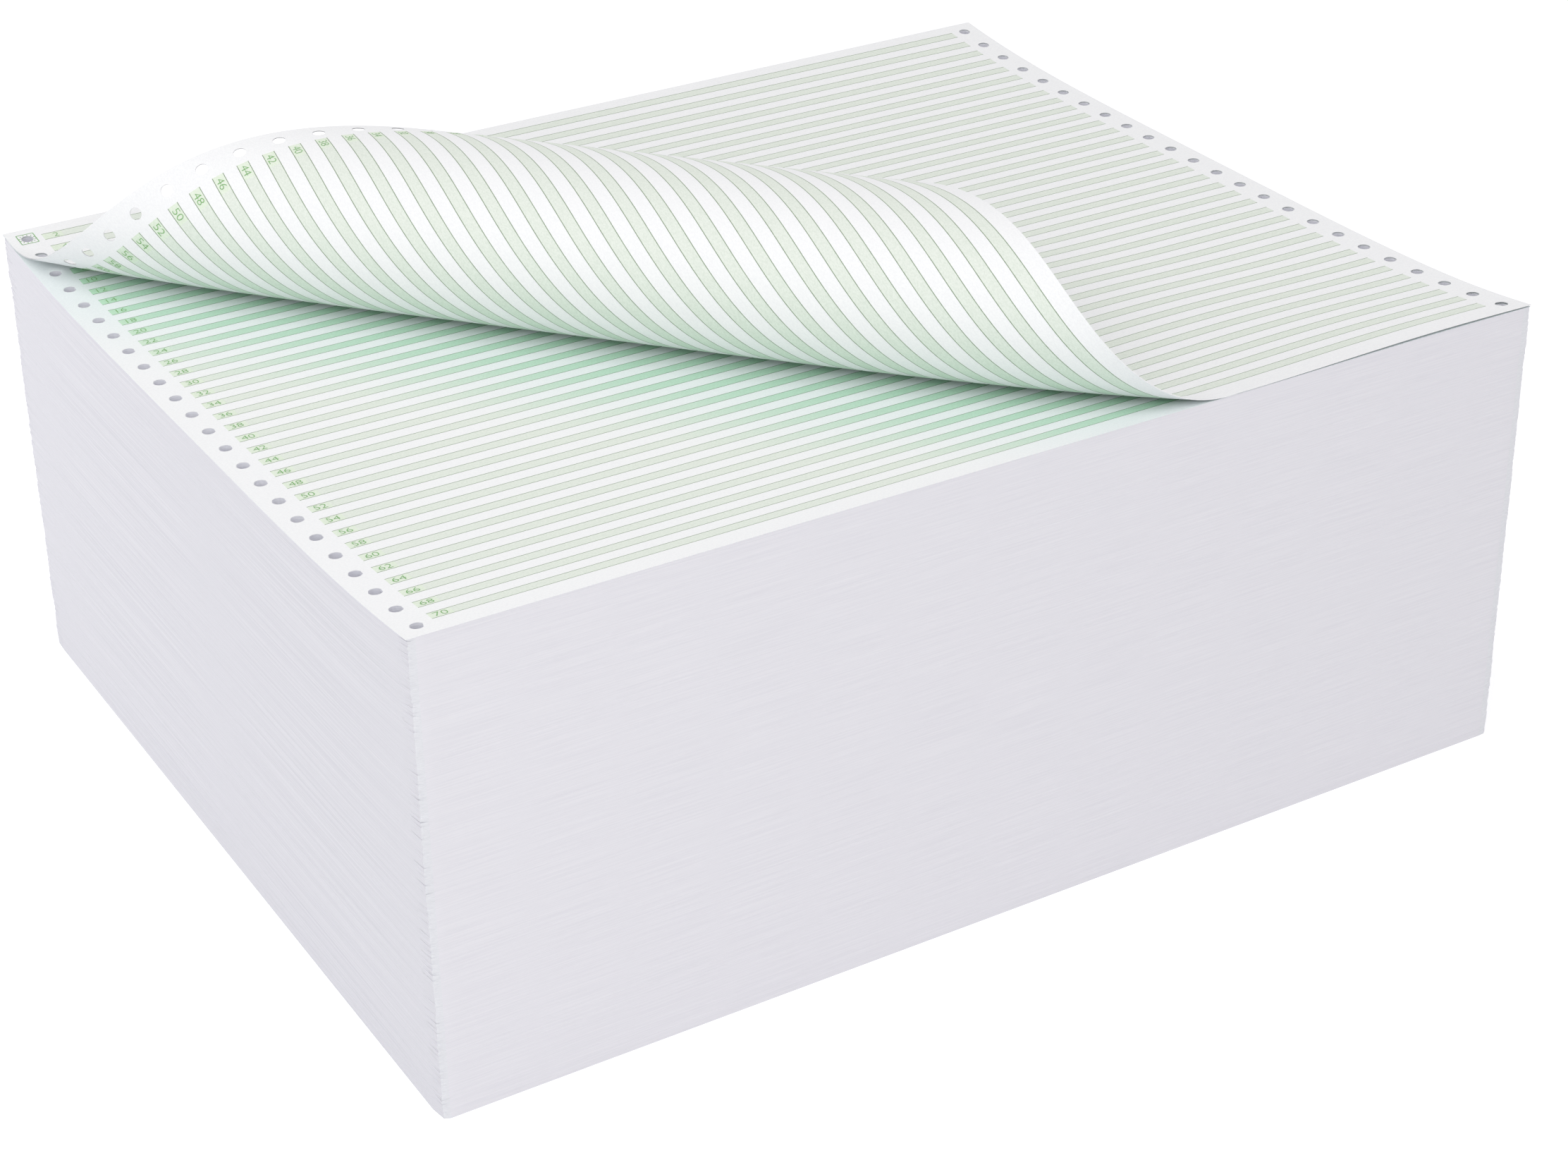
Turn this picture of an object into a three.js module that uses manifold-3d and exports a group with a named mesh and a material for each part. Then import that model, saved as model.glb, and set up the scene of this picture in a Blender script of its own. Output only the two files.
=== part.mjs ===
// Fan-folded listing paper: one continuous web, folded into a stack, with a
// sprocket-hole margin down each side. The top pair of sheets is rolled back
// at the front-left corner, and its free corner comes down on the sheet behind.
//
// Millimetres. The origin is the centre of the underside, +X runs across the
// web, +Y from the front fold to the back fold, and +Z up.
// A place on a sheet is (across, along): across counts from the left cut edge,
// and along counts from the front fold.

import * as THREE from "three";
import { mergeVertices } from "three/addons/utils/BufferGeometryUtils.js";
import Module from "manifold-3d";

// The web
const INCH = 25.4;
const SHEET_WIDTH = 375;
const SHEET_LENGTH = 12 * INCH;
const SHEET_THICKNESS = 0.076;
const SHEET_COUNT = 2000;

// The sprocket holes
const HOLE_DIAMETER = 4;
const HOLE_PITCH = INCH / 2;
const HOLE_TO_EDGE = 6;
const HOLE_SIDES = 10;

// The stack: folds puff up, so the top sags between them
const SAG_DEPTH = 5;
const SAG_FLATNESS = 4;
const SAG_FADE = 1.6;
const SHEETS_PER_BAND = 62.5;
const FOLD_GROOVE = 0.6;
const CUT_GROOVE = 0.3;
const EDGE_SCATTER = 0.35;
const STACK_ROWS = 10;

// The rolled pair of sheets
const BEND_TO_RIGHT_EDGE = 112;
const BEND_TO_BACK_FOLD = 8;
const BEND_RADIUS = 24.5;
const TIGHT_BEND_LENGTH = 58;
const PAIR_THICKNESS = 0.5;
const PAIR_SEAT = 0.15;
const CORNER_GAP = 0.5;
const TIGHT_FACETS = 13;
const LOOSE_FACETS = 11;
const LOOSE_SPREAD = 1.3;
const ROLL_ROWS = 10;
const BEND_STEPS = 200;
const SEARCH_TURNS = 40;

const STACK_HEIGHT = SHEET_COUNT * SHEET_THICKNESS;
const BAND_COUNT = Math.round(SHEET_COUNT / SHEETS_PER_BAND);
const HOLE_COUNT = Math.round(SHEET_LENGTH / HOLE_PITCH);
const HOLE_RADIUS = HOLE_DIAMETER / 2;
const DRILL_OVERRUN = 1;
const GOLDEN_SHARE = (Math.sqrt(5) - 1) / 2;

const wasm = await Module();
wasm.setup();

// Solids and meshes

function solidFrom(geometry) {
  geometry.deleteAttribute("normal");
  geometry.deleteAttribute("uv");
  const merged = mergeVertices(geometry);
  return new wasm.Manifold(new wasm.Mesh({
    numProp: 3,
    vertProperties: new Float32Array(merged.attributes.position.array),
    triVerts: new Uint32Array(merged.index.array),
  }));
}

function solidFromTriangles(points, triangles) {
  const geometry = new THREE.BufferGeometry();
  const flat = points.flatMap((point) => [point.x, point.y, point.z]);
  geometry.setAttribute("position", new THREE.Float32BufferAttribute(flat, 3));
  geometry.setIndex(triangles.flat());
  return solidFrom(geometry);
}

function geometryFrom(solid) {
  const mesh = solid.getMesh();
  const geometry = new THREE.BufferGeometry();
  geometry.setAttribute("position", new THREE.Float32BufferAttribute(mesh.vertProperties, 3));
  geometry.setIndex(new THREE.Uint32BufferAttribute(mesh.triVerts, 1));
  geometry.computeVertexNormals();
  return geometry;
}

function drill(point, direction, length) {
  const geometry = new THREE.CylinderGeometry(HOLE_RADIUS, HOLE_RADIUS, length, HOLE_SIDES);
  const turn = new THREE.Quaternion();
  turn.setFromUnitVectors(new THREE.Vector3(0, 1, 0), direction);
  geometry.applyQuaternion(turn);
  geometry.translate(point.x, point.y, point.z);
  return solidFrom(geometry);
}

// The stack

function sagAt(along) {
  const fromMiddle = Math.abs((2 * along) / SHEET_LENGTH - 1);
  return -SAG_DEPTH * (1 - fromMiddle ** SAG_FLATNESS);
}

function onStack(across, along, level) {
  const share = (level / STACK_HEIGHT) ** SAG_FADE;
  const x = across - SHEET_WIDTH / 2;
  const y = along - SHEET_LENGTH / 2;
  return new THREE.Vector3(x, y, level + sagAt(along) * share);
}

// A fixed number from 0 to 1 for each ring, so that the bands differ a little
function scatter(ring) {
  return (ring * GOLDEN_SHARE) % 1;
}

// One ring of the stack's sides: up the left edge from front to back, then the
// same on the right. Even rings are the grooves between bands, odd ones crests.
function ringPoints(ring) {
  const level = (STACK_HEIGHT * ring) / (2 * BAND_COUNT);
  const isGroove = ring % 2 === 0;
  const foldInset = isGroove ? FOLD_GROOVE : EDGE_SCATTER * scatter(ring);
  const cutInset = isGroove ? CUT_GROOVE : EDGE_SCATTER * scatter(ring + BAND_COUNT);
  const points = [];
  for (const across of [cutInset, SHEET_WIDTH - cutInset]) {
    for (let row = 0; row <= STACK_ROWS; row += 1) {
      const share = row / STACK_ROWS;
      const along = THREE.MathUtils.lerp(foldInset, SHEET_LENGTH - foldInset, share);
      points.push(onStack(across, along, level));
    }
  }
  return points;
}

function makeStack() {
  const rings = 2 * BAND_COUNT;
  const ringSize = 2 * (STACK_ROWS + 1);
  const points = [];
  for (let ring = 0; ring <= rings; ring += 1) {
    points.push(...ringPoints(ring));
  }
  const left = (ring, row) => ring * ringSize + row;
  const right = (ring, row) => ring * ringSize + STACK_ROWS + 1 + row;
  const triangles = [];
  const quad = (a, b, c, d) => triangles.push([a, b, c], [a, c, d]);
  for (let ring = 0; ring < rings; ring += 1) {
    const up = ring + 1;
    quad(left(ring, 0), right(ring, 0), right(up, 0), left(up, 0));
    quad(right(ring, STACK_ROWS), left(ring, STACK_ROWS), left(up, STACK_ROWS), right(up, STACK_ROWS));
    for (let row = 0; row < STACK_ROWS; row += 1) {
      quad(right(ring, row), right(ring, row + 1), right(up, row + 1), right(up, row));
      quad(left(ring, row + 1), left(ring, row), left(up, row), left(up, row + 1));
    }
  }
  for (let row = 0; row < STACK_ROWS; row += 1) {
    quad(left(0, row), left(0, row + 1), right(0, row + 1), right(0, row));
    quad(left(rings, row), right(rings, row), right(rings, row + 1), left(rings, row + 1));
  }
  return solidFromTriangles(points, triangles);
}

function holeAlong(index) {
  return HOLE_PITCH * (index + 0.5);
}

// Upright holes down one margin, through the whole stack
function makeMarginDrills(across) {
  const up = new THREE.Vector3(0, 0, 1);
  const length = STACK_HEIGHT + 2 * (SAG_DEPTH + DRILL_OVERRUN);
  const drills = [];
  for (let index = 0; index < HOLE_COUNT; index += 1) {
    const centre = onStack(across, holeAlong(index), 0).setZ(STACK_HEIGHT / 2);
    drills.push(drill(centre, up, length));
  }
  return wasm.Manifold.union(drills);
}

// The rolled pair

const REACH_FRONT = SHEET_WIDTH - BEND_TO_RIGHT_EDGE;
const REACH_SIDE = SHEET_LENGTH - BEND_TO_BACK_FOLD;
const BEND_LINE = new THREE.Vector2(-REACH_FRONT, REACH_SIDE).normalize();
const TO_CORNER = new THREE.Vector2(-BEND_LINE.y, BEND_LINE.x);
const CORNER_DISTANCE = REACH_FRONT * BEND_LINE.y;

// The paper turns at one radius to start with, and then straightens out
function bendAngle(distance, easing) {
  const tight = Math.min(distance, TIGHT_BEND_LENGTH) / BEND_RADIUS;
  const loose = Math.max(distance - TIGHT_BEND_LENGTH, 0);
  return tight + (easing / BEND_RADIUS) * (1 - Math.exp(-loose / easing));
}

// How far the paper has gone towards the corner, and how far up
function bendPlace(distance, easing) {
  const step = distance / BEND_STEPS;
  let forward = 0;
  let up = 0;
  for (let index = 0; index < BEND_STEPS; index += 1) {
    const angle = bendAngle((index + 0.5) * step, easing);
    forward += Math.cos(angle) * step;
    up += Math.sin(angle) * step;
  }
  return { forward, up };
}

// A point of the pair, raised above its underside along the paper's normal
function onPair(across, along, raised, easing) {
  const offset = new THREE.Vector2(across - REACH_FRONT, along);
  const distance = offset.dot(TO_CORNER);
  const lift = raised - PAIR_SEAT;
  if (distance <= 0) {
    return onStack(across, along, STACK_HEIGHT).add(new THREE.Vector3(0, 0, lift));
  }
  const foot = BEND_LINE.clone().multiplyScalar(offset.dot(BEND_LINE));
  foot.x += REACH_FRONT;
  const angle = bendAngle(distance, easing);
  const { forward, up } = bendPlace(distance, easing);
  const sideways = forward - lift * Math.sin(angle);
  const point = onStack(foot.x, foot.y, STACK_HEIGHT);
  point.x += TO_CORNER.x * sideways;
  point.y += TO_CORNER.y * sideways;
  point.z += up + lift * Math.cos(angle);
  return point;
}

function normalOfPair(across, along, easing) {
  const upper = onPair(across, along, 1, easing);
  return upper.sub(onPair(across, along, 0, easing)).normalize();
}

// The free corner's height over the sheet that it comes down on
function cornerClearance(easing) {
  const tip = onPair(0, 0, PAIR_THICKNESS + PAIR_SEAT, easing);
  const below = onStack(0, tip.y + SHEET_LENGTH / 2, STACK_HEIGHT);
  return tip.z - below.z - PAIR_THICKNESS;
}

// The easing length that lays the free corner down with its small gap
function findEasing() {
  let low = 1;
  let high = CORNER_DISTANCE;
  for (let turn = 0; turn < SEARCH_TURNS; turn += 1) {
    const middle = (low + high) / 2;
    if (cornerClearance(middle) > CORNER_GAP) {
      low = middle;
    } else {
      high = middle;
    }
  }
  return low;
}

// Shares of the way from the bend line to the corner, closer where it is tight
function rollShares() {
  const shares = [];
  for (let index = 1; index <= TIGHT_FACETS; index += 1) {
    shares.push((TIGHT_BEND_LENGTH * index) / TIGHT_FACETS / CORNER_DISTANCE);
  }
  const tightShare = TIGHT_BEND_LENGTH / CORNER_DISTANCE;
  for (let index = 1; index <= LOOSE_FACETS; index += 1) {
    shares.push(THREE.MathUtils.lerp(tightShare, 1, (index / LOOSE_FACETS) ** LOOSE_SPREAD));
  }
  return shares;
}

// The pair's outline cut into triangles on the flat sheet, along the lines that
// the roll keeps straight
function pairPatch() {
  const places = [];
  const triangles = [];
  const known = new Map();
  const place = (across, along) => {
    const key = `${across.toFixed(4)} ${along.toFixed(4)}`;
    if (!known.has(key)) {
      known.set(key, places.length);
      places.push([across, along]);
    }
    return known.get(key);
  };
  const triangle = (a, b, c) => {
    if (a === b || b === c || a === c) {
      return;
    }
    const [pa, pb, pc] = [places[a], places[b], places[c]];
    const area = (pb[0] - pa[0]) * (pc[1] - pa[1]) - (pc[0] - pa[0]) * (pb[1] - pa[1]);
    triangles.push(area > 0 ? [a, b, c] : [a, c, b]);
  };
  const quad = (a, b, c, d) => {
    triangle(a, b, c);
    triangle(a, c, d);
  };
  const onRoll = (share, row) => {
    const turn = row / ROLL_ROWS;
    return place(REACH_FRONT * (1 - share) * (1 - turn), REACH_SIDE * (1 - share) * turn);
  };
  const columns = [0, ...rollShares()];
  for (let row = 0; row < ROLL_ROWS; row += 1) {
    for (let column = 0; column + 1 < columns.length; column += 1) {
      const near = columns[column];
      const far = columns[column + 1];
      quad(onRoll(near, row), onRoll(near, row + 1), onRoll(far, row + 1), onRoll(far, row));
    }
    const low = place(SHEET_WIDTH, (REACH_SIDE * row) / ROLL_ROWS);
    const high = place(SHEET_WIDTH, (REACH_SIDE * (row + 1)) / ROLL_ROWS);
    quad(onRoll(0, row), low, high, onRoll(0, row + 1));
  }
  const backLeft = place(0, SHEET_LENGTH);
  const backRight = place(SHEET_WIDTH, SHEET_LENGTH);
  quad(onRoll(0, ROLL_ROWS), place(SHEET_WIDTH, REACH_SIDE), backRight, backLeft);
  return { places, triangles };
}

// Edges that only one triangle of a patch has, each in that triangle's order
function patchRim(triangles) {
  const edges = triangles.flatMap(([a, b, c]) => [[a, b], [b, c], [c, a]]);
  const names = new Set(edges.map(([a, b]) => `${a} ${b}`));
  return edges.filter(([a, b]) => !names.has(`${b} ${a}`));
}

function makePair(easing) {
  const { places, triangles } = pairPatch();
  const thickness = PAIR_THICKNESS + PAIR_SEAT;
  const under = places.map(([across, along]) => onPair(across, along, 0, easing));
  const over = places.map(([across, along]) => onPair(across, along, thickness, easing));
  const count = places.length;
  const faces = [];
  for (const [a, b, c] of triangles) {
    faces.push([a + count, b + count, c + count], [a, c, b]);
  }
  for (const [a, b] of patchRim(triangles)) {
    faces.push([a, b, b + count], [a, b + count, a + count]);
  }
  return solidFromTriangles([...under, ...over], faces);
}

// The pair's own holes down the left margin, square to the rolled paper
function makeRolledDrills(easing) {
  const drills = [];
  for (let index = 0; index < HOLE_COUNT; index += 1) {
    const along = holeAlong(index);
    const centre = onPair(HOLE_TO_EDGE, along, PAIR_THICKNESS / 2, easing);
    const normal = normalOfPair(HOLE_TO_EDGE, along, easing);
    drills.push(drill(centre, normal, PAIR_THICKNESS + 2 * DRILL_OVERRUN));
  }
  return wasm.Manifold.union(drills);
}

function makePaper() {
  const easing = findEasing();
  const stack = makeStack().subtract(makeMarginDrills(HOLE_TO_EDGE));
  const pair = makePair(easing).subtract(makeRolledDrills(easing));
  const web = stack.add(pair);
  return web.subtract(makeMarginDrills(SHEET_WIDTH - HOLE_TO_EDGE));
}

const paper = new THREE.Mesh(
  geometryFrom(makePaper()),
  new THREE.MeshStandardMaterial({ color: 0xf0f0f2, roughness: 0.9, metalness: 0 }),
);
paper.name = "fanfold_paper";

const model = new THREE.Group();
model.add(paper);

export default model;
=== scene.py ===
"""Looks of a stack of fan-fold computer paper, its top pair of sheets rolled back at one corner."""

import math

import bpy
import numpy as np
from mathutils import Matrix, Vector


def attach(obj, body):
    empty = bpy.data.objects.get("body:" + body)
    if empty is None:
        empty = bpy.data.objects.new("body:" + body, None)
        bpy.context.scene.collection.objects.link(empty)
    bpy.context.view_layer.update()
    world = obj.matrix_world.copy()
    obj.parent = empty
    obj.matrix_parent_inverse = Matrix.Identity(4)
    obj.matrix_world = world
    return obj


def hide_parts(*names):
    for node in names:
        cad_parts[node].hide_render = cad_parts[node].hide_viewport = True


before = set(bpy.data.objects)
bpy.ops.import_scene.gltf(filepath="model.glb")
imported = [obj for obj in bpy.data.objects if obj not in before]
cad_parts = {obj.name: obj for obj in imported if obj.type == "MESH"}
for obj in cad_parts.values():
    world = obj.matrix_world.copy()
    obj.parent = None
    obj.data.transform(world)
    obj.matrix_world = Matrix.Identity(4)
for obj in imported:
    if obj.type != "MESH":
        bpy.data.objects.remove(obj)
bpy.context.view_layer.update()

# Sizes are in metres. "Across" runs from the left cut edge and "along" from the front fold.
MM = 0.001
NODE = "fanfold_paper"
WIDTH = 0.375
LENGTH = 12 * 0.0254
HEIGHT = 0.152
SHEET = 0.076 * MM

# Points nearer to each other than this are one
TINY = 1e-7

# The edge strips and their sprocket holes
MARGIN = 10.5 * MM
HOLE_PITCH = 12.7 * MM
HOLE_COUNT = 24
HOLE_RADIUS = 2 * MM
HOLE_TO_EDGE = 6 * MM

# The top sinks between its folds, less and less further down
SAG_DEPTH = 5 * MM
SAG_FLATNESS = 4
SAG_FADE = 1.6

# The roll, with the same line and curve as in the CAD source
REACH_FRONT = WIDTH - 0.112
REACH_SIDE = LENGTH - 0.008
BEND_RADIUS = 24.5 * MM
TIGHT_LENGTH = 58 * MM
CORNER_GAP = 0.5 * MM
EASING_RANGE = (5 * MM, 200 * MM)
SEARCH_TURNS = 40
BEND_STEPS = 400
# The table of the bend goes a little past the free corner
TABLE_REACH = 1.02

# Beside the roll the top sheets stand a little off the stack, the third one half as much
BULGE = 1.1 * MM
BULGE_WIDTH = 112 * MM
BULGE_FADE = 200 * MM
THIRD_SHARE = 0.5

# Heights of the undersides of the top three sheets above the stack
LIFT_THIRD = 0.0
LIFT_SECOND = 0.20 * MM
LIFT_FIRST = 0.40 * MM

# The print: a bar on each even line up to 70 of 72, measured from the fold beside line 1
LINE_PITCH = 25.4 * MM / 6
LINE_OFFSET = 0.91 * MM
BAR_INSET = 0.11 * MM
BAR_START = 10.95 * MM
BAR_END = 364.05 * MM
ZONE_END = 17.45 * MM
RULE_WIDTH = 0.26 * MM
BAR_NUMBERS = range(2, 71, 2)
DIGIT_HEIGHT = 2.45 * MM
DIGIT_STRETCH = 1.2
DIGIT_STEP = 2.1 * MM
DIGIT_FIRST = 12.1 * MM
DIGIT_THINNING = 0.014
DIGIT_CURVE_STEPS = 3
PRINT_LIFT = 0.05 * MM

rng = np.random.default_rng(6)


# The shape of the paper
def unit(x, y):
    size = math.hypot(x, y)
    return np.array([x / size, y / size])


BEND_LINE = unit(-REACH_FRONT, REACH_SIDE)
TO_CORNER = np.array([-BEND_LINE[1], BEND_LINE[0]])
CORNER_DISTANCE = REACH_FRONT * BEND_LINE[1]


def sag_at(along):
    return -SAG_DEPTH * (1 - np.abs(2 * along / LENGTH - 1) ** SAG_FLATNESS)


def on_stack(across, along, level):
    """Points of a sheet that lies flat, at a level of the stack."""
    height = level + sag_at(along) * (np.clip(level, 0, None) / HEIGHT) ** SAG_FADE
    return np.stack([across - WIDTH / 2, along - LENGTH / 2, height + 0 * across], axis=-1)


def bend_table(easing):
    """Distance past the bend line, the angle turned there, and how far forward and up it is."""
    distance = np.linspace(0, CORNER_DISTANCE * TABLE_REACH, BEND_STEPS + 1)
    eased = 1 - np.exp(-np.maximum(distance - TIGHT_LENGTH, 0) / easing)
    angle = (np.minimum(distance, TIGHT_LENGTH) + easing * eased) / BEND_RADIUS
    middle = (angle[1:] + angle[:-1]) / 2
    step = distance[1]
    forward = np.concatenate([[0], np.cumsum(np.cos(middle) * step)])
    up = np.concatenate([[0], np.cumsum(np.sin(middle) * step)])
    return distance, angle, forward, up


def past_bend(across, along):
    """How far a point of the paper is past the bend line, towards the rolled corner."""
    return (across - REACH_FRONT) * TO_CORNER[0] + along * TO_CORNER[1]


def bulge_at(across, along):
    """How far the top pair stands off the stack beside the roll, less towards the back fold."""
    share = np.clip(-past_bend(across, along) / BULGE_WIDTH, 0, 1)
    fade = np.clip((LENGTH - along) / BULGE_FADE, 0, 1)
    return BULGE * np.sin(math.pi * share) ** 2 * fade * fade * (3 - 2 * fade)


def on_pair(across, along, lift, table):
    """Points of the top pair of sheets: flat up to the bend line, then rolled back."""
    distances, angles, forwards, ups = table
    distance = past_bend(across, along)
    beside = (across - REACH_FRONT) * BEND_LINE[0] + along * BEND_LINE[1]
    rolled = distance > 0
    foot_across = np.where(rolled, REACH_FRONT + BEND_LINE[0] * beside, across)
    foot_along = np.where(rolled, BEND_LINE[1] * beside, along)
    angle = np.where(rolled, np.interp(distance, distances, angles), 0)
    forward = np.where(rolled, np.interp(distance, distances, forwards), 0)
    up = np.where(rolled, np.interp(distance, distances, ups), 0)
    points = on_stack(foot_across, foot_along, HEIGHT)
    points[..., 2] += bulge_at(across, along)
    ahead = forward - lift * np.sin(angle)
    points[..., 0] += TO_CORNER[0] * ahead
    points[..., 1] += TO_CORNER[1] * ahead
    points[..., 2] += up + lift * np.cos(angle)
    return points


def tip_clearance(easing):
    """How far the free corner of the roll is above the sheet behind it."""
    tip = on_pair(np.array([0.0]), np.array([0.0]), LIFT_FIRST, bend_table(easing))[0]
    under = on_stack(tip[0:1] + WIDTH / 2, tip[1:2] + LENGTH / 2, HEIGHT)[0]
    return tip[2] - under[2] - LIFT_FIRST


def solve_easing():
    """The easing that brings the free corner down to its gap above the sheet behind it."""
    low, high = EASING_RANGE
    for _ in range(SEARCH_TURNS):
        middle = (low + high) / 2
        if tip_clearance(middle) > CORNER_GAP:
            low = middle
        else:
            high = middle
    return (low + high) / 2


ROLL = bend_table(solve_easing())


def third_sheet(across, along, lift):
    points = on_stack(across, along, HEIGHT)
    points[..., 2] += lift + THIRD_SHARE * bulge_at(across, along)
    return points


def pair_sheet(across, along, lift):
    return on_pair(across, along, lift, ROLL)


# Paper laid out flat: the rings of faces round a hole widen by a power of their number
RING_GROWTH = 1.4


class Pattern:
    """A sheet laid out flat: a grid between the edge strips, and rings of faces round each hole."""

    def __init__(self, across_lines, along_lines, edge_parts, strip_parts, rings):
        self.points = []
        self.keys = {}
        self.faces = []
        self.holes = []
        self.along_lines = along_lines
        self.edge_parts = edge_parts
        self.strip_parts = strip_parts
        self.rings = rings
        self.grid(across_lines)
        for edge, inner, centre in (
            (0.0, MARGIN, HOLE_TO_EDGE),
            (WIDTH, WIDTH - MARGIN, WIDTH - HOLE_TO_EDGE),
        ):
            for cell in range(HOLE_COUNT):
                self.cell(edge, inner, centre, cell * HOLE_PITCH)
        self.points = np.array(self.points)
        self.outline = self.find_outline()

    def vertex(self, across, along):
        key = (round(across / TINY), round(along / TINY))
        if key not in self.keys:
            self.keys[key] = len(self.points)
            self.points.append((across, along))
        return self.keys[key]

    def grid(self, across_lines):
        ids = [[self.vertex(a, b) for b in self.along_lines] for a in across_lines]
        for left, right in zip(ids, ids[1:]):
            for j in range(len(self.along_lines) - 1):
                self.faces.append((left[j], right[j], right[j + 1], left[j + 1]))

    def cell(self, edge, inner, centre, start):
        """The faces between one hole and the border of its stretch of the edge strip."""
        end, middle = start + HOLE_PITCH, start + HOLE_PITCH / 2
        border = [(inner, b) for b in self.along_lines if start - TINY < b < end + TINY]
        for i in range(self.edge_parts + 1):
            border.append((edge, start + HOLE_PITCH * i / self.edge_parts))
        for i in range(1, self.strip_parts):
            across = edge + (inner - edge) * i / self.strip_parts
            border += [(across, start), (across, end)]
        border.sort(key=lambda p: math.atan2(p[1] - middle, p[0] - centre))
        loops = []
        for ring in range(self.rings + 1):
            share = (ring / self.rings) ** RING_GROWTH
            loop = []
            for across, along in border:
                dx, dy = across - centre, along - middle
                reach = math.hypot(dx, dy)
                at = (HOLE_RADIUS + (reach - HOLE_RADIUS) * share) / reach
                loop.append(self.vertex(centre + dx * at, middle + dy * at))
            loops.append(loop)
        for near, far in zip(loops, loops[1:]):
            for i in range(len(border)):
                j = (i + 1) % len(border)
                self.faces.append((near[i], far[i], far[j], near[j]))
        self.holes.append(loops[0])

    def find_outline(self):
        """The points on the sheet's outer edge, anticlockwise from the front-left corner."""
        across, along = self.points.T
        front = np.where(along < TINY)[0]
        right = np.where(across > WIDTH - TINY)[0]
        back = np.where(along > LENGTH - TINY)[0]
        left = np.where(across < TINY)[0]
        ordered = list(front[np.argsort(across[front])])
        ordered += list(right[np.argsort(along[right])])[1:]
        ordered += list(back[np.argsort(-across[back])])[1:]
        ordered += list(left[np.argsort(-along[left])])[1:-1]
        return [int(i) for i in ordered]


def spread(stops, step):
    """The stops, with evenly spaced values put between any two that are further apart than step."""
    made = [stops[0]]
    for low, high in zip(stops, stops[1:]):
        parts = max(1, math.ceil((high - low) / step))
        made += [low + (high - low) * i / parts for i in range(1, parts + 1)]
    return made


def merged(values, gap=0.02 * MM):
    """Sorted values with near repeats taken out."""
    made = []
    for value in sorted(values):
        if not made or value - made[-1] > gap:
            made.append(value)
    return made


def bar_spans(from_back):
    """The start and end of each printed bar, measured from the front fold."""
    spans = []
    for number in BAR_NUMBERS:
        start = (number - 1) * LINE_PITCH + LINE_OFFSET + BAR_INSET
        end = number * LINE_PITCH + LINE_OFFSET - BAR_INSET
        spans.append((LENGTH - end, LENGTH - start) if from_back else (start, end))
    return spans


def ink_depth(across, along, near, far):
    """How much painted shade there is near the roll: 1 up to the near distance past the bend line, 0
    from the far one on.
    """
    distance = past_bend(across, along)
    share = np.clip((far - distance) / (far - near), 0, 1)
    return share * share * (3 - 2 * share)


# Meshes
class Gathered:
    """Points and faces gathered for one piece, with where each point is on the paper."""

    def __init__(self):
        self.points = []
        self.webs = []
        self.faces = []
        self.finishes = []
        self.count = 0

    def add(self, place, flat, lift, web=None):
        """Put points of the flat paper in place at a lift, and give their numbers."""
        self.points.append(place(flat[:, 0], flat[:, 1], lift))
        on_paper = flat if web is None else web
        self.webs.append(np.column_stack([on_paper, np.full(len(flat), lift)]))
        first = self.count
        self.count += len(flat)
        return list(range(first, self.count))

    def join(self, low, high, finishes):
        """Faces between two closed loops of points."""
        for i in range(len(low)):
            j = (i + 1) % len(low)
            self.faces.append((low[i], low[j], high[j], high[i]))
        self.finishes += finishes

    def piece(self, name, materials, painted_shade_reach=None, sharp=30):
        """A smooth object with sharp rims that rides with the paper."""
        web = np.concatenate(self.webs)
        mesh = bpy.data.meshes.new(name)
        mesh.from_pydata([tuple(v) for v in np.concatenate(self.points)], [], self.faces)
        for material in materials:
            mesh.materials.append(material)
        if self.finishes:
            mesh.polygons.foreach_set("material_index", np.asarray(self.finishes, np.int32))
        layer = mesh.attributes.new("web", "FLOAT_VECTOR", "POINT")
        layer.data.foreach_set("vector", np.asarray(web, np.float32).ravel())
        # Painted shade: each point's share of the mint shade tint near the roll, from its distance past
        # the bend line
        if painted_shade_reach:
            painted_shade_amount = ink_depth(web[:, 0], web[:, 1], *painted_shade_reach)
            layer = mesh.attributes.new("painted_shade_amount", "FLOAT", "POINT")
            layer.data.foreach_set("value", np.asarray(painted_shade_amount, np.float32))
        mesh.shade_smooth()
        mesh.set_sharp_from_angle(angle=math.radians(sharp))
        piece = bpy.data.objects.new(name, mesh)
        bpy.context.scene.collection.objects.link(piece)
        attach(piece, "root")
        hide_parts(NODE)
        return piece


# Materials
PAPER_SPECULAR = 0.25
GRAIN_DETAIL = 4
GRAIN_ROUGHNESS = 0.65
DARK_STOP = 0.35
LIGHT_STOP = 0.62
RELIEF_DEPTH = 0.02 * MM
FIBRE_SCALE = 1400
FIBRE_STRETCH = (1.0, 1.6, 1.0)
FIBRE_BUMP = 0.25
SHEET_ROUGHNESS = 0.62


def srgb(red, green, blue):
    """A colour given as 0 to 255 on screen, as linear light."""
    made = []
    for value in (red, green, blue):
        share = value / 255
        made.append(share / 12.92 if share <= 0.04045 else ((share + 0.055) / 1.055) ** 2.4)
    return (*made, 1.0)


def paper_grain(nodes, links, scale, stretch):
    """Noise that stays with the paper, whichever way it is rolled."""
    place = nodes.new("ShaderNodeAttribute")
    place.attribute_name = "web"
    mapping = nodes.new("ShaderNodeMapping")
    mapping.inputs["Scale"].default_value = stretch
    links.new(place.outputs["Vector"], mapping.inputs["Vector"])
    grain = nodes.new("ShaderNodeTexNoise")
    grain.inputs["Scale"].default_value = scale
    grain.inputs["Detail"].default_value = GRAIN_DETAIL
    grain.inputs["Roughness"].default_value = GRAIN_ROUGHNESS
    links.new(mapping.outputs["Vector"], grain.inputs["Vector"])
    return grain.outputs["Fac"]


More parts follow.
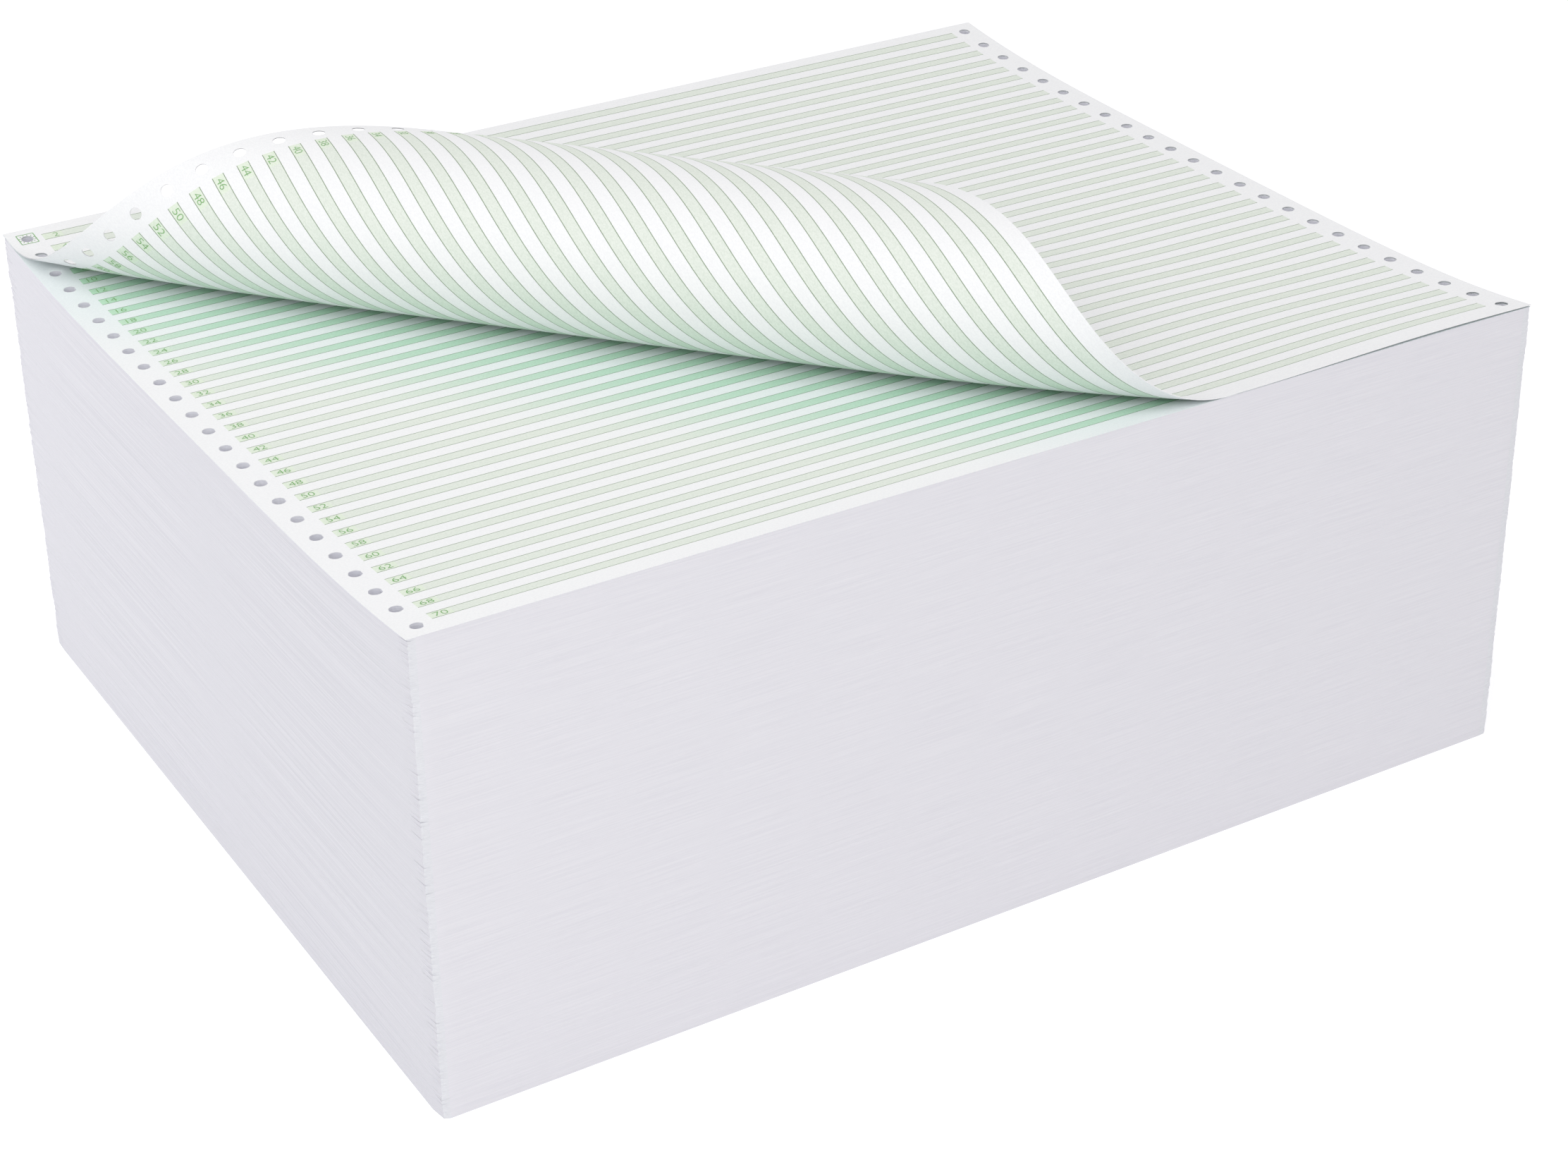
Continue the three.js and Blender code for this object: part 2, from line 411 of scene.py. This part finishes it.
def deepened(nodes, links, colour, painted_shade_colour):
    """A colour multiplied by a painted shade colour, as much as the point's painted shade share."""
    painted_shade_amount = nodes.new("ShaderNodeAttribute")
    painted_shade_amount.attribute_name = "painted_shade_amount"
    shade_mix = nodes.new("ShaderNodeMix")
    shade_mix.data_type = "RGBA"
    shade_mix.blend_type = "MULTIPLY"
    shade_mix.inputs["B"].default_value = painted_shade_colour
    links.new(painted_shade_amount.outputs["Fac"], shade_mix.inputs["Factor"])
    links.new(colour, shade_mix.inputs["A"])
    return shade_mix.outputs["Result"]


def paper_material(name, light, dark, scale, stretch, bump, roughness, painted_shade_colour=None):
    """Paper whose colour wanders between two tones, over fine fibres, with painted shade multiplied in
    near the roll if a shade colour is given.
    """
    material = bpy.data.materials.new(name)
    material.use_nodes = True
    nodes, links = material.node_tree.nodes, material.node_tree.links
    shader = nodes["Principled BSDF"]
    shader.inputs["Roughness"].default_value = roughness
    shader.inputs["Specular IOR Level"].default_value = PAPER_SPECULAR
    grain = paper_grain(nodes, links, scale, stretch)
    tones = nodes.new("ShaderNodeValToRGB")
    darker, lighter = tones.color_ramp.elements
    darker.position, darker.color = DARK_STOP, dark
    lighter.position, lighter.color = LIGHT_STOP, light
    links.new(grain, tones.inputs["Fac"])
    colour = tones.outputs["Color"]
    if painted_shade_colour:
        colour = deepened(nodes, links, colour, painted_shade_colour)
    links.new(colour, shader.inputs["Base Color"])
    relief = nodes.new("ShaderNodeBump")
    relief.inputs["Strength"].default_value = bump
    relief.inputs["Distance"].default_value = RELIEF_DEPTH
    links.new(grain, relief.inputs["Height"])
    links.new(relief.outputs["Normal"], shader.inputs["Normal"])
    return material


def sheet_material(name, light, dark, painted_shade_colour=None):
    """One side of a sheet, or its cut edge."""
    fibres = (FIBRE_SCALE, FIBRE_STRETCH, FIBRE_BUMP)
    return paper_material(name, light, dark, *fibres, SHEET_ROUGHNESS, painted_shade_colour)


def stack_material(name, light, dark, stretch, bump, roughness):
    """Many sheets seen edge on, as streaks: a stretch is how often the tone changes in a metre."""
    return paper_material(name, light, dark, 1.0, stretch, bump, roughness)


# The finishes of a sheet, in the order of the list
PLAIN, FILL, ZONE, RULE, CUT = range(5)
# Painted shade: mint tints multiplied into the paper and its print where the roll shades it
PAINTED_SHADE_BAR = srgb(212, 244, 230)
PAINTED_SHADE_PAPER = srgb(246, 252, 252)
PAPER_FINISHES = [
    sheet_material("paper_white", srgb(246, 246, 246), srgb(240, 240, 241), PAINTED_SHADE_PAPER),
    sheet_material("paper_bar", srgb(231, 236, 227), srgb(219, 226, 215), PAINTED_SHADE_BAR),
    sheet_material("paper_number_zone", srgb(231, 239, 224), srgb(220, 231, 211), PAINTED_SHADE_BAR),
    sheet_material("ink_rule", srgb(152, 166, 144), srgb(130, 147, 122), PAINTED_SHADE_BAR),
    sheet_material("paper_cut", srgb(240, 240, 243), srgb(226, 226, 231)),
]
INK = sheet_material("ink_number", srgb(138, 186, 124), srgb(122, 173, 108))

# The finishes of the stack, in the order of the list
EDGES, FOLDS, FLAT, WALLS, FOLD_ENDS = range(5)
STACK_FINISHES = [
    stack_material(
        "stack_cut_edges", srgb(228, 227, 231), srgb(212, 211, 217), (7.0, 7.0, 5200.0), 0.3, 0.85
    ),
    stack_material(
        "stack_folds", srgb(236, 234, 238), srgb(230, 228, 233), (34.0, 34.0, 2600.0), 0.2, 0.75
    ),
    PAPER_FINISHES[PLAIN],
    stack_material(
        "hole_walls", srgb(234, 234, 239), srgb(218, 218, 226), (60.0, 60.0, 3000.0), 0.3, 0.85
    ),
    stack_material(
        "stack_fold_ends", srgb(235, 235, 238), srgb(227, 227, 231), (500.0, 500.0, 3000.0), 0.3, 0.8
    ),
]


# The three sheets that can be seen
ROLL_STEP = 3 * MM
FLAT_STEP = 8 * MM

# Where each sheet's painted shade near the roll goes from full to none, as two distances past the bend
# line
PAINTED_SHADE_THIRD = (20 * MM, 70 * MM)
PAINTED_SHADE_SECOND = (-30 * MM, 58 * MM)
PAINTED_SHADE_FIRST = (-2 * WIDTH, -WIDTH)


def print_finishes(pattern, spans):
    """The finish of each face of the printed side."""
    centres = np.array([pattern.points[list(f)].mean(0) for f in pattern.faces])
    across, along = centres.T
    finishes = np.full(len(centres), PLAIN)
    inside = (across > BAR_START) & (across < BAR_END)
    for start, end in spans:
        bar = inside & (along > start) & (along < end)
        finishes[bar] = np.where(across[bar] < ZONE_END, ZONE, FILL)
        finishes[bar & ((along < start + RULE_WIDTH) | (along > end - RULE_WIDTH))] = RULE
    return finishes.tolist()


def lay_out_sheet(spans, rolled):
    """A flat sheet with lines along its bars, and a finer grid where it is to be rolled."""
    along_stops = [i * HOLE_PITCH for i in range(HOLE_COUNT + 1)]
    for start, end in spans:
        along_stops += [start, start + RULE_WIDTH, end - RULE_WIDTH, end]
        if rolled:
            middle = (start + end) / 2
            along_stops += [middle, middle + LINE_PITCH]
    along_lines = merged([b for b in along_stops if b <= LENGTH])
    across_stops = [MARGIN, BAR_START, ZONE_END, REACH_FRONT, BAR_END, WIDTH - MARGIN]
    across_lines = spread(across_stops, ROLL_STEP if rolled else FLAT_STEP)
    return Pattern(across_lines, along_lines, edge_parts=4, strip_parts=4, rings=3)


def make_sheet(name, place, lift, printed_up, rolled, painted_shade_reach):
    """A thin closed sheet of paper with its print on one side."""
    spans = bar_spans(from_back=printed_up)
    pattern = lay_out_sheet(spans, rolled)
    mesh = Gathered()
    low = mesh.add(place, pattern.points, lift)
    high = mesh.add(place, pattern.points, lift + SHEET)
    mesh.faces += [tuple(high[p] for p in face) for face in pattern.faces]
    mesh.faces += [tuple(low[p] for p in reversed(face)) for face in pattern.faces]
    printed = print_finishes(pattern, spans)
    plain = [PLAIN] * len(printed)
    mesh.finishes += printed + plain if printed_up else plain + printed
    for loop in [pattern.outline] + [hole[::-1] for hole in pattern.holes]:
        mesh.join([low[p] for p in loop], [high[p] for p in loop], [CUT] * len(loop))
    # The last argument gives where the painted shade near the roll fades out
    return mesh.piece(name, PAPER_FINISHES, painted_shade_reach)


sheet_third = make_sheet("sheet_third", third_sheet, LIFT_THIRD, True, False, PAINTED_SHADE_THIRD)
sheet_second = make_sheet("sheet_second", pair_sheet, LIFT_SECOND, False, True, PAINTED_SHADE_SECOND)
sheet_first = make_sheet("sheet_first", pair_sheet, LIFT_FIRST, True, True, PAINTED_SHADE_FIRST)


# The folds that join them
FOLD_TEETH = 375
FOLD_ARC = 5
TOOTH_DEPTH = 0.06 * MM


def make_fold(name, place, lift_low, lift_high, along, outward):
    """A folded strip between two sheets, with the small ties of its perforation."""
    middle = (lift_low + lift_high + SHEET) / 2
    radius = (lift_high + SHEET - lift_low) / 2
    across = np.linspace(0, WIDTH, 2 * FOLD_TEETH + 1)
    inset = np.where(np.arange(len(across)) % 2 == 0, 0.0, TOOTH_DEPTH)
    turns = np.linspace(-math.pi / 2, math.pi / 2, FOLD_ARC + 1)
    mesh = Gathered()
    rows = []
    for reach, order in ((radius, turns), (radius - SHEET, turns[::-1])):
        for turn in order:
            out = np.maximum(reach - inset * math.cos(turn), 0) * math.cos(turn)
            flat = np.column_stack([across, along + outward * out])
            rows.append(mesh.add(place, flat, middle + reach * math.sin(turn)))
    for row, above in zip(rows, rows[1:] + rows[:1]):
        for i in range(len(across) - 1):
            mesh.faces.append((row[i], row[i + 1], above[i + 1], above[i]))
    mesh.faces.append(tuple(row[0] for row in rows))
    mesh.faces.append(tuple(row[-1] for row in reversed(rows)))
    if outward > 0:
        mesh.faces = [face[::-1] for face in mesh.faces]
    return mesh.piece(name, [PAPER_FINISHES[PLAIN]])


fold_front = make_fold("fold_front", pair_sheet, LIFT_SECOND, LIFT_FIRST, 0.0, -1)
fold_back = make_fold("fold_back", third_sheet, LIFT_THIRD, LIFT_SECOND, LENGTH, 1)


# The stack below them, in sheaves of unequal thickness
SHEAF_COUNT = 215
SHEAF_RANGE = (0.4, 1.6)
STACK_TOP = HEIGHT - 0.02 * MM
STACK_ALONG_STEP = 4.3 * MM
STACK_ACROSS_STEP = 15 * MM
STACK_SHARP = 25

# How far a sheaf stands back: at random, in a slow drift up the stack, and in a wave along its side
SIDE_RANDOM = {"front": 0.04 * MM, "back": 0.05 * MM, "left": 0.05 * MM, "right": 0.05 * MM}
SIDE_DRIFT = 0.10 * MM
SIDE_KNOTS = 18
WAVE = 0.03 * MM
WAVE_KNOTS = 6

# How worn the upright edges are: front left, front right, back right, back left
CORNER_WEAR = np.array([1.0, 0.3, 0.3, 0.5])
CORNER_RANDOM = 0.45 * MM
CORNER_DRIFT = 0.55 * MM
CORNER_KNOTS = 24

# A hole's level and its share of the full width there: no two sheets are punched quite alike
HOLE_STEPS = (
    (7 * MM, 0.7),
    (HEIGHT - 9 * MM, 0.6),
    (HEIGHT - 4.5 * MM, 0.72),
    (HEIGHT - 2 * MM, 0.86),
    (HEIGHT - 0.8 * MM, 0.95),
)


def sheaf_levels():
    """The levels between the sheaves, from the underside to the top."""
    steps = rng.uniform(*SHEAF_RANGE, SHEAF_COUNT)
    levels = np.concatenate([[0], np.cumsum(steps)])
    return levels / levels[-1] * STACK_TOP


def smooth_noise(count, knots, high):
    """A random line through a number of knots, between 0 and its highest value."""
    values = rng.uniform(0, high, knots)
    return np.interp(np.linspace(0, knots - 1, count), np.arange(knots), values)


def in_stack(across, along, level):
    """Points of the stack. Its top follows the third sheet."""
    points = on_stack(across, along, level)
    if level == STACK_TOP:
        points[:, 2] += THIRD_SHARE * bulge_at(across, along)
    return points


def rim_insets(sides, corner):
    """How far each sheaf stands back along the outer edge, from the lowest sheaf up."""
    drift = {side: smooth_noise(SHEAF_COUNT, SIDE_KNOTS, SIDE_DRIFT) for side in sides}
    corner_drift = smooth_noise(SHEAF_COUNT, CORNER_KNOTS, CORNER_DRIFT)
    insets = []
    for sheaf in range(SHEAF_COUNT):
        inset = np.zeros(len(corner))
        for side, here in sides.items():
            own = rng.uniform(0, SIDE_RANDOM[side]) + drift[side][sheaf]
            inset[here] = own + smooth_noise(int(here.sum()), WAVE_KNOTS, WAVE)
        worn = corner_drift[sheaf] + rng.uniform(0, CORNER_RANDOM, len(CORNER_WEAR))
        inset[corner] += CORNER_WEAR * worn
        insets.append(inset)
    return insets


def side_finishes(corner, folded):
    """The finish of each stretch of the outer edge, from one of its points to the next."""
    along_fold = folded & np.roll(folded, -1)
    finishes = np.where(along_fold, FOLDS, EDGES)
    finishes[along_fold & (corner != np.roll(corner, -1))] = FOLD_ENDS
    return finishes.tolist()


def add_sides(mesh, rim, levels):
    """The four sides of the stack. Gives their loops of points, from the underside up."""
    across, along = rim.T
    sides = {
        "front": along < TINY,
        "back": along > LENGTH - TINY,
        "left": across < TINY,
        "right": across > WIDTH - TINY,
    }
    inward_across = sides["left"].astype(float) - sides["right"]
    inward_along = sides["front"].astype(float) - sides["back"]
    inward = np.column_stack([inward_across, inward_along])
    corner = (inward_across != 0) & (inward_along != 0)
    loops = []
    for inset, low, high in zip(rim_insets(sides, corner), levels, levels[1:]):
        edge = rim + inward * inset[:, None]
        loops += [mesh.add(in_stack, edge, level, rim) for level in (low, high)]
    finishes = side_finishes(corner, sides["front"] | sides["back"])
    for low, high in zip(loops, loops[1:]):
        mesh.join(low, high, finishes)
    return loops


def add_flat_points(mesh, pattern, level, loop):
    """The lowest or uppermost sheet of the stack, whose outer edge is a loop that is there."""
    numbers = dict(zip(pattern.outline, loop))
    inner = [p for p in range(len(pattern.points)) if p not in numbers]
    numbers.update(zip(inner, mesh.add(in_stack, pattern.points[inner], level)))
    return numbers


def add_hole(mesh, pattern, hole, bottom, top):
    """The walls of one sprocket hole, down through the stack."""
    flat = pattern.points[hole]
    centre = flat.mean(0)
    loops = [[bottom[p] for p in hole]]
    for level, share in HOLE_STEPS:
        loops.append(mesh.add(in_stack, centre + (flat - centre) * share, level))
    loops.append([top[p] for p in hole])
    for low, high in zip(loops, loops[1:]):
        mesh.join(low[::-1], high[::-1], [WALLS] * len(hole))


def make_stack():
    """The folded sheets under the top three, as sheaves that stand a little proud of each other."""
    along_lines = spread([i * HOLE_PITCH for i in range(HOLE_COUNT + 1)], STACK_ALONG_STEP)
    across_lines = spread([MARGIN, WIDTH - MARGIN], STACK_ACROSS_STEP)
    pattern = Pattern(across_lines, along_lines, edge_parts=2, strip_parts=4, rings=2)
    mesh = Gathered()
    levels = sheaf_levels()
    loops = add_sides(mesh, pattern.points[pattern.outline], levels)
    bottom = add_flat_points(mesh, pattern, levels[0], loops[0])
    top = add_flat_points(mesh, pattern, levels[-1], loops[-1])
    for face in pattern.faces:
        mesh.faces.append(tuple(top[p] for p in face))
        mesh.faces.append(tuple(bottom[p] for p in reversed(face)))
        mesh.finishes += [FLAT, FLAT]
    for hole in pattern.holes:
        add_hole(mesh, pattern, hole, bottom, top)
    return mesh.piece("stack_body", STACK_FINISHES, sharp=STACK_SHARP)


stack_body = make_stack()


# The line numbers
def digit_shapes():
    """Each digit as flat points and triangles, one unit high, standing on the origin."""
    shapes = {}
    for digit in "0123456789":
        curve = bpy.data.curves.new("digit_" + digit, "FONT")
        curve.body = digit
        curve.resolution_u = DIGIT_CURVE_STEPS
        curve.fill_mode = "FRONT"
        curve.offset = -DIGIT_THINNING
        holder = bpy.data.objects.new("digit_" + digit, curve)
        bpy.context.scene.collection.objects.link(holder)
        bpy.context.view_layer.update()
        mesh = holder.to_mesh()
        mesh.calc_loop_triangles()
        points = np.array([v.co[:2] for v in mesh.vertices])
        triangles = [tuple(t.vertices) for t in mesh.loop_triangles]
        holder.to_mesh_clear()
        bpy.data.objects.remove(holder)
        bpy.data.curves.remove(curve)
        tall = points[:, 1].max() - points[:, 1].min()
        points -= [(points[:, 0].min() + points[:, 0].max()) / 2, points[:, 1].min()]
        shapes[digit] = (points / tall, triangles)
    return shapes


DIGITS = digit_shapes()


def print_lift(lift, printed_up):
    """The lift of printed marks, just off the printed side of a sheet."""
    return lift + SHEET + PRINT_LIFT if printed_up else lift - PRINT_LIFT


def make_numbers(name, place, lift, printed_up):
    """The even line numbers at the left end of the bars of one sheet."""
    mesh = Gathered()
    rise = 1 if printed_up else -1
    for number, (start, end) in zip(BAR_NUMBERS, bar_spans(from_back=printed_up)):
        for slot, digit in enumerate(str(number).rjust(2)):
            if digit == " ":
                continue
            shape, triangles = DIGITS[digit]
            middle = DIGIT_FIRST + (slot + 0.5) * DIGIT_STEP
            across = middle + shape[:, 0] * DIGIT_HEIGHT * DIGIT_STRETCH
            along = (start + end) / 2 + rise * (shape[:, 1] - 0.5) * DIGIT_HEIGHT
            flat = np.column_stack([across, along])
            ids = mesh.add(place, flat, print_lift(lift, printed_up))
            mesh.faces += [tuple(ids[p] for p in triangle) for triangle in triangles]
    return mesh.piece(name, [INK])


numbers_third = make_numbers("numbers_third", third_sheet, LIFT_THIRD, True)
numbers_second = make_numbers("numbers_second", pair_sheet, LIFT_SECOND, False)
numbers_first = make_numbers("numbers_first", pair_sheet, LIFT_FIRST, True)


# A plain box with short strokes round the first hole beside line 1
BOX_HALF = (2.8 * MM, 3.1 * MM)
STROKE_WIDTH = 0.28 * MM
STROKE_COUNT = 12
STROKE_REACH = (2.2 * MM, 2.75 * MM)


def register_strokes():
    """The start and end of each stroke, measured from the middle of the hole."""
    wide, tall = BOX_HALF
    corners = [(-wide, -tall), (wide, -tall), (wide, tall), (-wide, tall)]
    strokes = list(zip(corners, corners[1:] + corners[:1]))
    for i in range(STROKE_COUNT):
        turn = 2 * math.pi * (i + 0.5) / STROKE_COUNT
        strokes.append([(math.cos(turn) * reach, math.sin(turn) * reach) for reach in STROKE_REACH])
    return np.array(strokes)


def make_register(name, place, lift, printed_up):
    """The registering mark printed round the corner hole of one sheet."""
    centre = np.array([HOLE_TO_EDGE, LENGTH - HOLE_PITCH / 2 if printed_up else HOLE_PITCH / 2])
    mesh = Gathered()
    for start, end in register_strokes():
        run = (end - start) / np.linalg.norm(end - start)
        beside = np.array([-run[1], run[0]]) * STROKE_WIDTH / 2
        flat = centre + np.array([start - beside, end - beside, end + beside, start + beside])
        face = tuple(mesh.add(place, flat, print_lift(lift, printed_up)))
        mesh.faces.append(face if printed_up else face[::-1])
    return mesh.piece(name, [INK])


register_third = make_register("register_third", third_sheet, LIFT_THIRD, True)
register_second = make_register("register_second", pair_sheet, LIFT_SECOND, False)
register_first = make_register("register_first", pair_sheet, LIFT_FIRST, True)


# Floor and background
FLOOR_SIZE = 8.0
FLOOR_COLOUR = srgb(236, 236, 238)
FLOOR_ROUGHNESS = 0.9
FLOOR_GLOW = 0.4
WORLD_COLOUR = (0.985, 0.985, 1.0, 1)
WORLD_LIGHT = 0.67
WHITE = (1, 1, 1, 1)


def sees_background(nodes, links):
    """Is this a ray that should find a white background: from the camera, or through gloss or glass."""
    path = nodes.new("ShaderNodeLightPath")
    either = nodes.new("ShaderNodeMath")
    either.operation = "MAXIMUM"
    links.new(path.outputs["Is Camera Ray"], either.inputs[0])
    links.new(path.outputs["Is Glossy Ray"], either.inputs[1])
    any_of = nodes.new("ShaderNodeMath")
    any_of.operation = "MAXIMUM"
    links.new(either.outputs[0], any_of.inputs[0])
    links.new(path.outputs["Is Transmission Ray"], any_of.inputs[1])
    return any_of.outputs[0]


def make_floor():
    mesh = bpy.data.meshes.new("floor")
    half = FLOOR_SIZE / 2
    corners = [(-half, -half, 0), (half, -half, 0), (half, half, 0), (-half, half, 0)]
    mesh.from_pydata(corners, [], [(0, 1, 2, 3)])
    floor = bpy.data.objects.new("floor", mesh)
    bpy.context.scene.collection.objects.link(floor)
    material = bpy.data.materials.new("floor_pale")
    material.use_nodes = True
    nodes, links = material.node_tree.nodes, material.node_tree.links
    shader = nodes["Principled BSDF"]
    shader.inputs["Base Color"].default_value = FLOOR_COLOUR
    shader.inputs["Roughness"].default_value = FLOOR_ROUGHNESS
    shader.inputs["Specular IOR Level"].default_value = 0.0
    shader.inputs["Emission Color"].default_value = WHITE
    glow = nodes.new("ShaderNodeMath")
    glow.operation = "MULTIPLY"
    glow.inputs[1].default_value = FLOOR_GLOW
    links.new(sees_background(nodes, links), glow.inputs[0])
    links.new(glow.outputs[0], shader.inputs["Emission Strength"])
    mesh.materials.append(material)


def make_world():
    world = bpy.data.worlds.new("studio")
    bpy.context.scene.world = world
    world.use_nodes = True
    nodes, links = world.node_tree.nodes, world.node_tree.links
    light = nodes["Background"]
    light.inputs["Color"].default_value = WORLD_COLOUR
    light.inputs["Strength"].default_value = WORLD_LIGHT
    white = nodes.new("ShaderNodeBackground")
    white.inputs["Color"].default_value = WHITE
    white.inputs["Strength"].default_value = 1.0
    mix = nodes.new("ShaderNodeMixShader")
    links.new(sees_background(nodes, links), mix.inputs["Fac"])
    links.new(light.outputs["Background"], mix.inputs[1])
    links.new(white.outputs["Background"], mix.inputs[2])
    links.new(mix.outputs["Shader"], nodes["World Output"].inputs["Surface"])


# Each lamp's name, place, target, size, watts and colour
LAMPS = (
    ("softbox_top", (-0.6, -0.65, 1.7), (0, 0, 0.1), 1.8, 12.5, (1, 1, 1)),
    ("softbox_low", (-1.1, -1.4, 0.3), (-0.1, 0, 0.16), 0.9, 4.4, (0.96, 1.0, 0.985)),
    ("softbox_side", (-0.75, 0.8, 0.35), (-0.19, 0.15, 0.09), 0.5, 2.4, (1, 1, 1)),
)


def make_lamp(name, place, target, size, watts, colour):
    lamp = bpy.data.lights.new(name, "AREA")
    lamp.color = colour
    lamp.shape = "SQUARE"
    lamp.size = size
    lamp.energy = watts
    holder = bpy.data.objects.new(name, lamp)
    holder.location = place
    aim = Vector(target) - Vector(place)
    holder.rotation_euler = aim.to_track_quat("-Z", "Y").to_euler()
    bpy.context.scene.collection.objects.link(holder)


# The camera, fitted to the photo's corners. The focal length is in pixels of the photo.
PHOTO_WIDTH = 2224
FOCAL_LENGTH = 4560
SENSOR_WIDTH = 36
CAMERA_SHIFT = -0.05
CAMERA_PLACE = (-0.4614, -0.7997, 0.5585)
CAMERA_YAW = 30.72
CAMERA_PITCH = 27.93
CAMERA_ROLL = 0.72


def make_camera():
    yaw, pitch, roll = (math.radians(a) for a in (CAMERA_YAW, CAMERA_PITCH, CAMERA_ROLL))
    look = Vector(
        (math.sin(yaw) * math.cos(pitch), math.cos(yaw) * math.cos(pitch), -math.sin(pitch))
    )
    level_right = look.cross(Vector((0, 0, 1))).normalized()
    level_down = look.cross(level_right)
    right = math.cos(roll) * level_right + math.sin(roll) * level_down
    down = -math.sin(roll) * level_right + math.cos(roll) * level_down
    data = bpy.data.cameras.new("camera")
    data.sensor_fit = "HORIZONTAL"
    data.sensor_width = SENSOR_WIDTH
    data.lens = FOCAL_LENGTH * SENSOR_WIDTH / PHOTO_WIDTH
    data.shift_y = CAMERA_SHIFT
    camera = bpy.data.objects.new("camera", data)
    axes = Matrix((right, -down, -look)).transposed().to_4x4()
    camera.matrix_world = Matrix.Translation(CAMERA_PLACE) @ axes
    bpy.context.scene.collection.objects.link(camera)
    bpy.context.scene.camera = camera


make_floor()
make_world()
for lamp in LAMPS:
    make_lamp(*lamp)
make_camera()
bpy.context.scene.view_settings.view_transform = "Standard"
